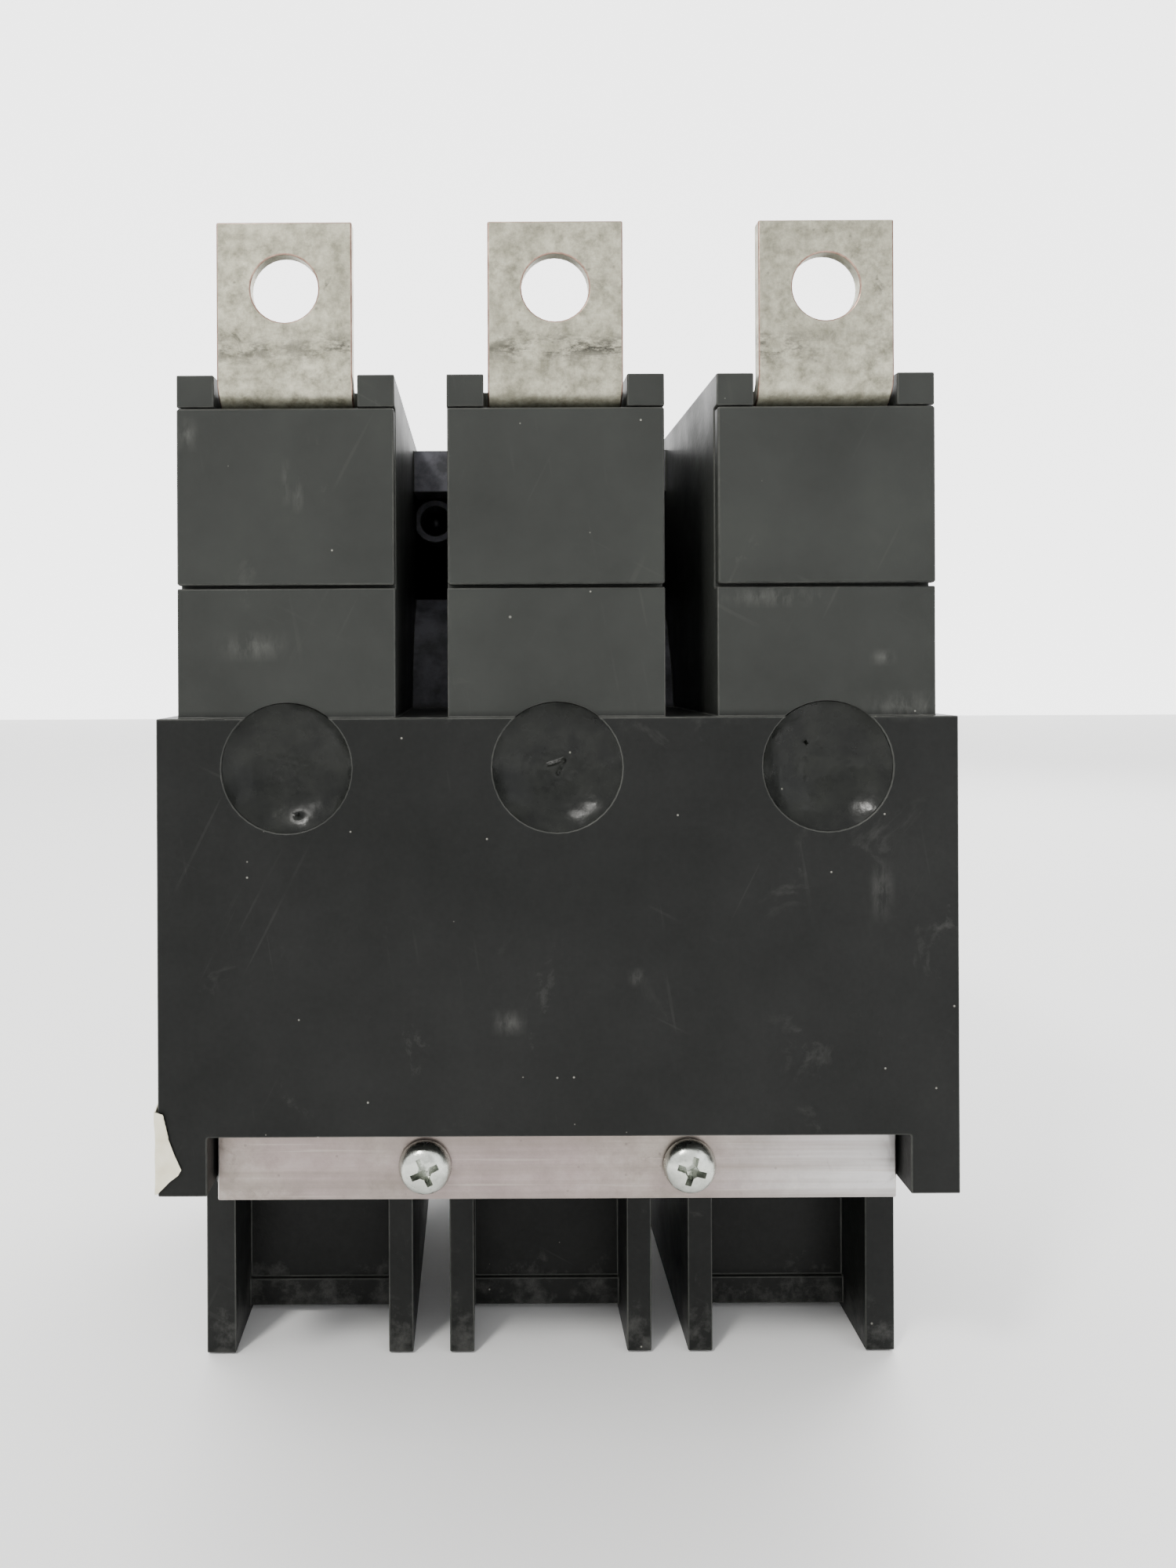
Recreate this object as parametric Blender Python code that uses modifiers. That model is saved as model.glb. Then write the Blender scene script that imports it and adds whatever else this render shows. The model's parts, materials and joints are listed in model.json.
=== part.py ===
"""Three-pole bolt-on molded case circuit breaker, built as an assembly of separate pieces.

Metres, +Z up towards the line end. The rear mounting plane is Y = 0, and the operator's side is +Y.
The origin is the middle of the rear mounting face, on the middle pole's centre line.
"""

import math

import bmesh
import bpy
from mathutils import Matrix, Vector

MM = 0.001

# Driving dimensions, in millimetres.
PITCH = 25.4
POLES = (-PITCH, 0.0, PITCH)
GAPS = (-PITCH / 2, PITCH / 2)
BODY_HALF_WIDTH = 37.6
COVER_HALF_WIDTH = 37.3
TOWER_HALF_WIDTH = 10.25
LOAD_HALF_WIDTH = 10.75
LOAD_OUTER_EXTRA = 0.5
CHAMBER_HALF_WIDTH = 8.3
TERMINAL_HALF_WIDTH = 8.15

BAND_TOP = 19.7
BAND_BOTTOM = -19.6
LEG_BOTTOM = -25.1
LEG_INNER_X = 33.0
STEP_BOTTOM = -26.0
STEP_REAR_Y = 5.1
TOWER_TOP = 52.0
TOWER_REAR_Y = 0.4
NOTCH_FLOOR, NOTCH_HALF_WIDTH = 48.9, 6.75
PANEL_BOTTOM, PANEL_TOP, PANEL_ROUNDING = 32.2, 48.95, 0.2
PANEL_REAR_Y, PANEL_FRONT_Y = 0.1, 1.7
BODY_BOTTOM = -48.6
LIP_BOTTOM, LIP_TOP, LIP_REAR_Y = -47.7, -44.7, 23.3
LOAD_REAR_Y, LOAD_WALL_Y, TERMINAL_REAR_Y = 15.5, 23.9, 25.5
PARTING_Y = 44.0
BRIDGE_REAR_Y, BRIDGE_BOTTOM, BRIDGE_TOP = 31.4, 45.4, 50.4
GAP_FILL_HALF, BOSS_RADIUS, BOSS_REAR_Y = 2.8, 2.7, 36.0
WEB_OUTLINE = [(PARTING_Y, 12.0), (26.0, 12.0), (26.0, 20.0), (27.4, 24.5), (30.6, 29.4),
               (35.5, 32.8), (PARTING_Y, 32.8)]
COVER_REAR_Y = PARTING_Y + 0.3
SHOULDER_Y = 60.0
LOAD_SHOULDER_Y = 58.0
FRONT_Y = 71.4
CHAMBER_REAR_Y = 4.6
CHAMBER_TOP = 47.3
CHAMBER_BOTTOM = -15.0
TERMINAL_TOP = -20.0
STRAP_PASS, STRAP_PASS_HALF = (-21.0, -14.0), 6.9
OVERCUT = 1.0
FIT_GAP = 0.3

WELL_Z, WELL_RADIUS, WELL_DEPTH = 15.0, 6.1, 2.6
BAR_TOP, BAR_BOTTOM, BAR_REAR_Y, BAR_THICK, BAR_HALF_LENGTH = -20.2, -26.8, 3.2, 1.6, 32.7
BAR_SCREW_Z = (BAR_TOP + BAR_BOTTOM) / 2
BAR_HOLE_RADIUS, BAR_SCREW_TIP_Y, BAR_SCREW_HEAD, BAR_SCREW_SHANK = 1.6, 12.5, 2.55, 1.25
CASE_SCREW_TIP_Y, CASE_SCREW_HEAD, CASE_SCREW_SHANK = 37.0, 2.7, 1.5
LINE_SCREW_SEAT_Y, LOAD_SCREW_SEAT_Y = 56.0, 52.0
SCREW_POINT = 2.0
LINE_SCREW_Z, LOAD_SCREW_Z = 42.5, BAR_SCREW_Z

STRAP_WIDTH, STRAP_THICK = 12.7, 1.6
TAB_Y, TAB_TOP, TAB_HOLE_Z, TAB_HOLE_RADIUS = 0.8, 66.2, 60.0, 3.175
STRAP_LEG_Y, STRAP_LEG_BOTTOM, STRAP_SHELF_Z, STRAP_BEND = 5.8, 30.0, 49.8, 1.9

CROSSBAR_YZ, CROSSBAR_RADIUS = (24.0, 10.0), 3.6
CONTACT_OPENING_DEG = -30.0
ARM_HALF_WIDTH = 2.2
DRIVE_PIN_YZ = (31.0, 8.0)
KNEE_YZ = (40.0, 3.0)
UPPER_LINK_YZ = (37.0, 11.0)
CRADLE_YZ = (34.0, 16.0)
HANDLE_YZ = (56.0, 5.0)
HANDLE_OFF_DEG = -23.0
HANDLE_SLOT_Z = (-6.2, 16.2)
SHIELD_DEG = (-90.0, 88.0)
TRIP_BAR_YZ, TRIP_BAR_RADIUS = (36.0, -8.0), 2.2
PIN_RADIUS, PIN_HOLE_RADIUS = 1.5, 1.8

LOAD_STRAP_Y = 29.8
LUG_Z, LUG_REAR_Y, LUG_FRONT_Y = -36.0, 26.8, 46.0
LUG_SCREW_TIP_Y, LUG_SCREW_END_Y, LUG_SCREW_RADIUS = 37.5, 51.0, 2.6

COLOURS = {
    "thermoset_black": ((0.030, 0.031, 0.029), 0.55, 0.0),
    "handle_black": ((0.022, 0.022, 0.022), 0.42, 0.0),
    "potting_compound": ((0.018, 0.019, 0.017), 0.22, 0.0),
    "tinned_copper": ((0.52, 0.50, 0.43), 0.48, 1.0),
    "zinc_steel": ((0.50, 0.46, 0.45), 0.36, 1.0),
    "screw_steel": ((0.66, 0.68, 0.64), 0.28, 1.0),
    "copper": ((0.72, 0.38, 0.24), 0.35, 1.0),
    "silver_alloy": ((0.78, 0.77, 0.73), 0.30, 1.0),
    "bimetal": ((0.55, 0.50, 0.42), 0.34, 1.0),
    "spring_steel": ((0.35, 0.35, 0.36), 0.32, 1.0),
    "arc_plate": ((0.38, 0.36, 0.33), 0.55, 1.0),
    "lug_aluminium": ((0.70, 0.71, 0.72), 0.38, 1.0),
}


# ---- tools -------------------------------------------------------------------------------------

def clear_scene():
    for obj in list(bpy.data.objects):
        bpy.data.objects.remove(obj)


def new_collection(name):
    made = bpy.data.collections.new(name)
    bpy.context.scene.collection.children.link(made)
    return made


def material(name):
    """The Principled material of that name, made on first use."""
    found = bpy.data.materials.get(name)
    if found:
        return found
    colour, roughness, metallic = COLOURS[name]
    made = bpy.data.materials.new(name)
    made.use_nodes = True
    shader = made.node_tree.nodes["Principled BSDF"]
    shader.inputs["Base Color"].default_value = (*colour, 1.0)
    shader.inputs["Roughness"].default_value = roughness
    shader.inputs["Metallic"].default_value = metallic
    made.diffuse_color = (*colour, 1.0)
    return made


def store(obj, name, finish):
    """Names the object, gives it its material and puts it in the breaker's collection, or the cutters'."""
    obj.name = name
    for holder in list(obj.users_collection):
        holder.objects.unlink(obj)
    if finish is None:
        cutters.objects.link(obj)
        obj.hide_render = True
        obj.display_type = "WIRE"
    else:
        breaker.objects.link(obj)
        obj.data.materials.clear()
        obj.data.materials.append(material(finish))
    return obj


def box(name, low, high, finish=None):
    """A block between two corners, in millimetres."""
    size = [(b - a) * MM for a, b in zip(low, high)]
    centre = [(a + b) / 2 * MM for a, b in zip(low, high)]
    bpy.ops.mesh.primitive_cube_add(size=1.0, location=(0, 0, 0))
    obj = bpy.context.object
    obj.data.transform(Matrix.Diagonal((*size, 1.0)))
    obj.location = centre
    return store(obj, name, finish)


def rod(name, radius, start, end, finish=None, sides=20):
    """A round bar between two points that differ along one axis, in millimetres."""
    start, end = Vector(start), Vector(end)
    bpy.ops.mesh.primitive_cylinder_add(
        vertices=sides, radius=radius * MM, depth=(end - start).length * MM, location=(0, 0, 0))
    obj = bpy.context.object
    turn = Vector((0, 0, 1)).rotation_difference((end - start).normalized())
    obj.data.transform(turn.to_matrix().to_4x4())
    obj.location = (start + end) / 2 * MM
    return store(obj, name, finish)


def circle(centre, radius, steps=20):
    return [(centre[0] + radius * math.cos(2 * math.pi * i / steps),
             centre[1] + radius * math.sin(2 * math.pi * i / steps)) for i in range(steps)]


def arc(centre, radius, start_deg, end_deg, steps):
    angles = [math.radians(start_deg + (end_deg - start_deg) * i / steps) for i in range(steps + 1)]
    return [(centre[0] + radius * math.cos(a), centre[1] + radius * math.sin(a)) for a in angles]


def capsule(a, b, radius, steps=8):
    """The outline of a link with round ends at a and b."""
    heading = math.degrees(math.atan2(b[1] - a[1], b[0] - a[0]))
    return (arc(b, radius, heading - 90, heading + 90, steps)
            + arc(a, radius, heading + 90, heading + 270, steps))


def plate(name, outlines, low, high, finish=None, plane="YZ"):
    """A flat piece: closed outlines, the first outer and the rest holes, extruded from low to high.

    The outlines lie in the YZ plane and the thickness is along X, or, with plane XY, along Z.
    """
    curve = bpy.data.curves.new(name, "CURVE")
    curve.dimensions = "2D"
    curve.fill_mode = "BOTH"
    curve.extrude = (high - low) / 2 * MM
    for outline in outlines:
        spline = curve.splines.new("POLY")
        spline.points.add(len(outline) - 1)
        for point, (u, v) in zip(spline.points, outline):
            point.co = (u * MM, v * MM, 0, 1)
        spline.use_cyclic_u = True
    obj = bpy.data.objects.new(name, curve)
    middle = (high + low) / 2 * MM
    if plane == "YZ":
        obj.rotation_euler = (math.pi / 2, 0, math.pi / 2)
        obj.location = (middle, 0, 0)
    else:
        obj.location = (0, 0, middle)
    bpy.context.scene.collection.objects.link(obj)
    return store(obj, name, finish)


def as_mesh(obj, finish=None):
    """The curve object turned into a mesh object of the same name, so that it takes a Boolean."""
    bpy.context.view_layer.update()
    graph = bpy.context.evaluated_depsgraph_get()
    mesh = bpy.data.meshes.new_from_object(obj.evaluated_get(graph))
    welded = bmesh.new()
    welded.from_mesh(mesh)
    bmesh.ops.remove_doubles(welded, verts=welded.verts, dist=0.000001)
    bmesh.ops.recalc_face_normals(welded, faces=welded.faces)
    welded.to_mesh(mesh)
    welded.free()
    made = bpy.data.objects.new(obj.name, mesh)
    made.matrix_world = obj.matrix_world
    name = obj.name
    bpy.data.objects.remove(obj)
    bpy.context.scene.collection.objects.link(made)
    return store(made, name, finish)


def combine(target, others, operation):
    for other in others:
        modifier = target.modifiers.new(other.name, "BOOLEAN")
        modifier.operation = operation
        modifier.object = other
        modifier.solver = "EXACT"
    return target


def cut(target, *cutters_used):
    return combine(target, cutters_used, "DIFFERENCE")


def join(target, *added):
    return combine(target, added, "UNION")


def at_pole(x, low, high):
    """Corners of a block given about a pole's centre line, moved to that pole."""
    return (low[0] + x, low[1], low[2]), (high[0] + x, high[1], high[2])


def smooth(obj):
    obj.data.shade_smooth()
    obj.data.set_sharp_from_angle(angle=math.radians(35))
    return obj


def hinge(name, yz, parts, degrees=0.0):
    """An empty on a joint's axis, along X through yz, that carries the parts and turns them."""
    axis = bpy.data.objects.new(name, None)
    breaker.objects.link(axis)
    axis.location = (0, yz[0] * MM, yz[1] * MM)
    axis.rotation_euler = (math.radians(degrees), 0, 0)
    bpy.context.view_layer.update()
    for part in parts:
        place = part.matrix_world.copy()
        part.parent = axis
        part.matrix_parent_inverse = Matrix.Identity(4)
        part.matrix_local = Matrix.Translation(-axis.location) @ place
    return axis


# ---- cases -------------------------------------------------------------------------------------

def load_block(name, x, rear, front, top):
    """A pole's load-end block. The outer poles' outer walls are thicker."""
    low = x - LOAD_HALF_WIDTH - (LOAD_OUTER_EXTRA if x == POLES[0] else 0)
    high = x + LOAD_HALF_WIDTH + (LOAD_OUTER_EXTRA if x == POLES[-1] else 0)
    return box(name, (low, rear, BODY_BOTTOM), (high, front, top))


def rear_case():
    """The molded base: three towers, the full-width band and three load-end terminal blocks."""
    case = box("rear_case", (-BODY_HALF_WIDTH, 0, BAND_BOTTOM),
               (BODY_HALF_WIDTH, PARTING_Y, BAND_TOP), "thermoset_black")
    step_x = LEG_INNER_X + 0.2
    added = [box("case_step", (-step_x, STEP_REAR_Y, STEP_BOTTOM), (step_x, PARTING_Y, -10))]
    for side in (-1, 1):
        outer, inner = sorted((side * BODY_HALF_WIDTH, side * LEG_INNER_X))
        added.append(box(f"case_leg_{side}", (outer, 0, LEG_BOTTOM), (inner, PARTING_Y, -10)))
    for x in POLES:
        added.append(box(f"case_tower_{x}", *at_pole(
            x, (-TOWER_HALF_WIDTH, TOWER_REAR_Y, 10), (TOWER_HALF_WIDTH, PARTING_Y, TOWER_TOP))))
        added.append(load_block(f"case_load_{x}", x, LOAD_REAR_Y, PARTING_Y, CHAMBER_BOTTOM + OVERCUT))
    for x in GAPS:
        added.append(box(f"case_bridge_{x}", (x - GAP_FILL_HALF, BRIDGE_REAR_Y, BRIDGE_BOTTOM),
                         (x + GAP_FILL_HALF, PARTING_Y, BRIDGE_TOP)))
        added.append(rod(f"case_boss_{x}", BOSS_RADIUS, (x, BOSS_REAR_Y, LINE_SCREW_Z),
                         (x, PARTING_Y, LINE_SCREW_Z)))
        added.append(as_mesh(plate(f"case_web_{x}", [WEB_OUTLINE], x - GAP_FILL_HALF, x + GAP_FILL_HALF)))
    join(case, *added)

    front = PARTING_Y + OVERCUT
    removed = []
    for x in POLES:
        for name, low, high in (
            ("notch", (-NOTCH_HALF_WIDTH, -OVERCUT, NOTCH_FLOOR),
             (NOTCH_HALF_WIDTH, 8, TOWER_TOP + OVERCUT)),
            ("strap_slot", (-NOTCH_HALF_WIDTH + 0.05, 4.0, 46), (NOTCH_HALF_WIDTH - 0.05, 7.3, 50)),
            ("panel_seat", (-11, -OVERCUT, PANEL_BOTTOM - FIT_GAP),
             (11, PANEL_FRONT_Y + FIT_GAP, PANEL_TOP)),
            ("chamber", (-CHAMBER_HALF_WIDTH, CHAMBER_REAR_Y, CHAMBER_BOTTOM),
             (CHAMBER_HALF_WIDTH, front, CHAMBER_TOP)),
            ("arc_vent", (-5, 16, 46), (5, 34, TOWER_TOP + OVERCUT)),
            ("terminal", (-TERMINAL_HALF_WIDTH, TERMINAL_REAR_Y, BODY_BOTTOM - OVERCUT),
             (TERMINAL_HALF_WIDTH, front, TERMINAL_TOP)),
            ("strap_pass", (-STRAP_PASS_HALF, 28.5, STRAP_PASS[0]), (STRAP_PASS_HALF, front, STRAP_PASS[1])),
            ("rear_bay", (-TERMINAL_HALF_WIDTH, 14, LIP_TOP), (TERMINAL_HALF_WIDTH, LOAD_WALL_Y, -26.6)),
            ("lip_bay", (-TERMINAL_HALF_WIDTH, 14, BODY_BOTTOM - OVERCUT),
             (TERMINAL_HALF_WIDTH, LIP_REAR_Y, LIP_TOP + 0.5)),
            ("wall_foot", (-TERMINAL_HALF_WIDTH, 14, BODY_BOTTOM - OVERCUT),
             (TERMINAL_HALF_WIDTH, TERMINAL_REAR_Y + 0.5, LIP_BOTTOM)),
        ):
            removed.append(box(f"cut_{name}_{x}", *at_pole(x, low, high)))
        removed.append(rod(f"cut_well_{x}", WELL_RADIUS, (x, -OVERCUT, WELL_Z),
                           (x, WELL_DEPTH, WELL_Z), sides=40))
    removed.append(box("cut_crossbar_tunnel", (-LEG_INNER_X, 19.5, 5.2), (LEG_INNER_X, front, 14.8)))
    removed.append(box("cut_trip_tunnel", (-LEG_INNER_X, 31, -13), (LEG_INNER_X, front, -3)))
    for x in GAPS:
        removed.append(rod(f"cut_bar_hole_{x}", BAR_HOLE_RADIUS, (x, 5, BAR_SCREW_Z), (x, 14, BAR_SCREW_Z)))
        for z in (LINE_SCREW_Z, LOAD_SCREW_Z):
            removed.append(rod(f"cut_case_hole_{x}_{z}", PIN_HOLE_RADIUS, (x, 33.5, z), (x, front, z)))
    return cut(case, *removed)


def front_cover():
    """The molded cover: a raised middle with the handle's slot, and lower shoulders at both ends."""
    half = COVER_HALF_WIDTH
    cover = box("front_cover", (-half, COVER_REAR_Y, -27),
                (half, LOAD_SHOULDER_Y, 20), "thermoset_black")
    added = [
        box("cover_line_shoulder", (-half, COVER_REAR_Y, 10), (half, SHOULDER_Y, TOWER_TOP)),
        box("cover_middle", (-half, COVER_REAR_Y, -17), (half, FRONT_Y, 29)),
    ]
    for x in POLES:
        added.append(load_block(f"cover_load_{x}", x, COVER_REAR_Y, LOAD_SHOULDER_Y, TERMINAL_TOP))
    join(cover, *added)

    back = COVER_REAR_Y - OVERCUT
    removed = [
        box("cut_mechanism_bay", (-CHAMBER_HALF_WIDTH, back, -14), (CHAMBER_HALF_WIDTH, 69.2, 26.5)),
        box("cut_handle_slot", (-4.6, 68, HANDLE_SLOT_Z[0]), (4.6, FRONT_Y + OVERCUT, HANDLE_SLOT_Z[1])),
    ]
    for x in POLES:
        for name, low, high in (
            ("cover_chamber", (-CHAMBER_HALF_WIDTH, back, CHAMBER_BOTTOM),
             (CHAMBER_HALF_WIDTH, 56, CHAMBER_TOP)),
            ("cover_terminal", (-TERMINAL_HALF_WIDTH, back, BODY_BOTTOM - OVERCUT),
             (TERMINAL_HALF_WIDTH, 55.5, TERMINAL_TOP)),
            ("cover_pass", (-STRAP_PASS_HALF, back, STRAP_PASS[0]), (STRAP_PASS_HALF, 50, STRAP_PASS[1])),
        ):
            removed.append(box(f"cut_{name}_{x}", *at_pole(x, low, high)))
        removed.append(rod(f"cut_screw_access_{x}", 3.8, (x, 55, LUG_Z),
                           (x, LOAD_SHOULDER_Y + OVERCUT, LUG_Z), sides=24))
    for x in GAPS:
        for z, seat, face in ((LINE_SCREW_Z, LINE_SCREW_SEAT_Y, SHOULDER_Y),
                              (LOAD_SCREW_Z, LOAD_SCREW_SEAT_Y, LOAD_SHOULDER_Y)):
            removed.append(rod(f"cut_shank_{x}_{z}", PIN_HOLE_RADIUS, (x, back, z), (x, seat + 0.5, z)))
            removed.append(rod(f"cut_head_{x}_{z}", 3.1, (x, seat, z), (x, face + OVERCUT, z)))
    return cut(cover, *removed)


def rear_panels():
    """The thin plate let into the rear of each tower, over its line strap."""
    half = TOWER_HALF_WIDTH - 0.05
    for number, x in enumerate(POLES, 1):
        panel = box(f"rear_panel_{number}", (x - half, PANEL_REAR_Y, PANEL_BOTTOM),
                    (x + half, PANEL_FRONT_Y, PANEL_TOP - FIT_GAP / 2), "thermoset_black")
        bevel(panel, PANEL_ROUNDING)


def bevel(obj, width):
    """Rounds every sharp edge of a block, in millimetres."""
    modifier = obj.modifiers.new("rounded", "BEVEL")
    modifier.width = width * MM
    modifier.segments = 2
    modifier.limit_method = "ANGLE"
    return obj


def potting_seals():
    """The compound that fills the bottom of each round well."""
    for number, x in enumerate(POLES, 1):
        smooth(rod(f"well_seal_{number}", WELL_RADIUS - FIT_GAP, (x, 1.2, WELL_Z),
                   (x, WELL_DEPTH - FIT_GAP, WELL_Z), "potting_compound", sides=40))


# ---- rear bar and screws -----------------------------------------------------------------------

def pan_screw(name, x, z, seat_y, tip_y, head_radius, shank_radius, facing):
    """A pan-head screw with a cross recess. facing is the way its head looks along Y, -1 or 1."""
    head_height = 0.68 * head_radius
    profile = [(0.0, head_height)]
    profile += [(head_radius * math.sin(a), head_height * (0.45 + 0.55 * math.cos(a)))
                for a in (math.radians(d) for d in (28, 52, 72, 90))]
    profile += [(head_radius, 0.0), (shank_radius, 0.0)]
    length = abs(tip_y - seat_y)
    profile += [(shank_radius, -length + SCREW_POINT), (0.0, -length)]
    mesh = bpy.data.meshes.new(name)
    mesh.from_pydata([(r * MM, 0, h * MM) for r, h in profile],
                     [(i, i + 1) for i in range(len(profile) - 1)], [])
    obj = bpy.data.objects.new(name, mesh)
    bpy.context.scene.collection.objects.link(obj)
    store(obj, name, "screw_steel")
    screw = obj.modifiers.new("turn", "SCREW")
    screw.steps = screw.render_steps = 20
    screw.use_merge_vertices = True
    screw.merge_threshold = 0.00001
    screw.use_smooth_shade = True
    obj.rotation_euler = (-facing * math.pi / 2, 0, 0)
    obj.location = (x * MM, seat_y * MM, z * MM)
    top_y = seat_y + facing * head_height
    deep_y = top_y - facing * head_height * 0.75
    low_y, high_y = sorted((top_y + facing * OVERCUT, deep_y))
    reach, slot = head_radius * 0.58, head_radius * 0.12
    cut(obj,
        box(f"cut_{name}_across", (x - reach, low_y, z - slot), (x + reach, high_y, z + slot)),
        box(f"cut_{name}_along", (x - slot, low_y, z - reach), (x + slot, high_y, z + reach)))
    return obj


def mounting_bar():
    bar = box("mounting_bar", (-BAR_HALF_LENGTH, BAR_REAR_Y, BAR_BOTTOM),
              (BAR_HALF_LENGTH, BAR_REAR_Y + BAR_THICK, BAR_TOP), "zinc_steel")
    holes = [rod(f"cut_bar_{x}", BAR_HOLE_RADIUS, (x, BAR_REAR_Y - 1, BAR_SCREW_Z),
                 (x, BAR_REAR_Y + BAR_THICK + 1, BAR_SCREW_Z)) for x in GAPS]
    cut(bar, *holes)
    for number, x in enumerate(GAPS, 1):
        pan_screw(f"bar_screw_{number}", x, BAR_SCREW_Z, BAR_REAR_Y - FIT_GAP,
                  BAR_SCREW_TIP_Y, BAR_SCREW_HEAD, BAR_SCREW_SHANK, -1)


def case_screws():
    number = 0
    for x in GAPS:
        for z, seat in ((LINE_SCREW_Z, LINE_SCREW_SEAT_Y), (LOAD_SCREW_Z, LOAD_SCREW_SEAT_Y)):
            number += 1
            pan_screw(f"case_screw_{number}", x, z, seat + FIT_GAP,
                      CASE_SCREW_TIP_Y, CASE_SCREW_HEAD, CASE_SCREW_SHANK, 1)


# ---- current path ------------------------------------------------------------------------------

def bent_strip(path, thickness, bend, steps=5):
    """Outline of a sheet-metal strip that follows a path of straight runs with round bends."""
    left, right = [], []
    half = thickness / 2
    for i, point in enumerate(path):
        here = Vector(point)
        if i in (0, len(path) - 1):
            along = (Vector(path[1]) - here) if i == 0 else (here - Vector(path[-2]))
            along.normalize()
            side = Vector((-along.y, along.x)) * half
            left.append(tuple(here + side))
            right.append(tuple(here - side))
            continue
        into = (here - Vector(path[i - 1])).normalized()
        out = (Vector(path[i + 1]) - here).normalized()
        turn = into.x * out.y - into.y * out.x
        half_angle = into.angle(out) / 2
        normal = Vector((-into.y, into.x)) * (1 if turn > 0 else -1)
        setback = bend * math.tan(half_angle)
        centre = here - into * setback + normal * bend
        for k in range(steps + 1):
            a = 2 * half_angle * k / steps * (1 if turn > 0 else -1)
            spoke = Matrix.Rotation(a, 2) @ (-normal)
            near, far = centre + spoke * (bend - half), centre + spoke * (bend + half)
            left.append(tuple(near if turn > 0 else far))
            right.append(tuple(far if turn > 0 else near))
    return left + right[::-1]


def line_straps():
    path = [(TAB_Y, TAB_TOP), (TAB_Y, STRAP_SHELF_Z), (STRAP_LEG_Y, STRAP_SHELF_Z),
            (STRAP_LEG_Y, STRAP_LEG_BOTTOM)]
    outline = bent_strip(path, STRAP_THICK, STRAP_BEND)
    for number, x in enumerate(POLES, 1):
        half = STRAP_WIDTH / 2
        strap = as_mesh(plate(f"line_strap_{number}", [outline], x - half, x + half), "tinned_copper")
        cut(strap, rod(f"cut_tab_hole_{number}", TAB_HOLE_RADIUS, (x, -6, TAB_HOLE_Z),
                       (x, 2, TAB_HOLE_Z), sides=32))
        box(f"fixed_contact_{number}", (x - 2.6, STRAP_LEG_Y + 1.1, 33), (x + 2.6, 8.3, 39),
            "silver_alloy")


def load_terminals():
    """At each pole's load end: the strap from the trip unit, the box lug and its clamp screw."""
    for number, x in enumerate(POLES, 1):
        box(f"load_strap_{number}", (x - 3.4, LOAD_STRAP_Y - 0.8, -42),
            (x + 3.4, LOAD_STRAP_Y + 0.8, -6), "tinned_copper")
        lug = box(f"wire_lug_{number}", (x - 6.2, LUG_REAR_Y, LUG_Z - 6),
                  (x + 6.2, LUG_FRONT_Y, LUG_Z + 6), "lug_aluminium")
        cut(lug,
            box(f"cut_lug_{number}", (x - 4.4, 28.6, LUG_Z - 7), (x + 4.4, 42, LUG_Z + 7)),
            rod(f"cut_lug_thread_{number}", LUG_SCREW_RADIUS + FIT_GAP, (x, 41, LUG_Z),
                (x, LUG_FRONT_Y + 1, LUG_Z)))
        screw = rod(f"lug_screw_{number}", LUG_SCREW_RADIUS, (x, LUG_SCREW_TIP_Y, LUG_Z),
                    (x, LUG_SCREW_END_Y, LUG_Z), "screw_steel", sides=24)
        cut(smooth(screw), box(f"cut_lug_screw_slot_{number}", (x - 3, LUG_SCREW_END_Y - 1.2, LUG_Z - 0.5),
                               (x + 3, LUG_SCREW_END_Y + 1, LUG_Z + 0.5)))


# ---- contacts ----------------------------------------------------------------------------------

def contact_assembly():
    """Crossbar, three arms, their contacts and the drive pin. They are drawn closed and turned open."""
    bar = smooth(rod("crossbar", CROSSBAR_RADIUS, (-32.4, *CROSSBAR_YZ), (32.4, *CROSSBAR_YZ),
                     "thermoset_black", sides=24))

    tip_y, tip_z = 11.4, 38.6
    back = Matrix.Rotation(math.radians(-CONTACT_OPENING_DEG), 2)
    drive_closed = back @ (Vector(DRIVE_PIN_YZ) - Vector(CROSSBAR_YZ)) + Vector(CROSSBAR_YZ)
    outline = arc(CROSSBAR_YZ, 6.0, 135, 355, 16)
    outline += arc(tuple(drive_closed), 2.0, -60, 60, 6)
    outline += arc(CROSSBAR_YZ, 6.0, 45, 92, 4)
    outline += [(tip_y + 1.3, tip_z), (tip_y - 1.3, tip_z), (10.1, 32.6)]
    parts = [bar]
    for number, x in enumerate(POLES, 1):
        holes = [circle(CROSSBAR_YZ, CROSSBAR_RADIUS + FIT_GAP), circle(tuple(drive_closed), 1.2, 12)]
        parts.append(plate(f"contact_arm_{number}", [outline, *holes],
                           x - ARM_HALF_WIDTH, x + ARM_HALF_WIDTH, "copper"))
        parts.append(box(f"moving_contact_{number}", (x - ARM_HALF_WIDTH, 8.6, 33.4),
                         (x + ARM_HALF_WIDTH, 9.8, 38.2), "silver_alloy"))
    parts.append(rod("drive_pin", 0.9, (-4.2, *drive_closed), (4.2, *drive_closed), "spring_steel", 12))
    return hinge("crossbar_axis", CROSSBAR_YZ, parts, CONTACT_OPENING_DEG)


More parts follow.
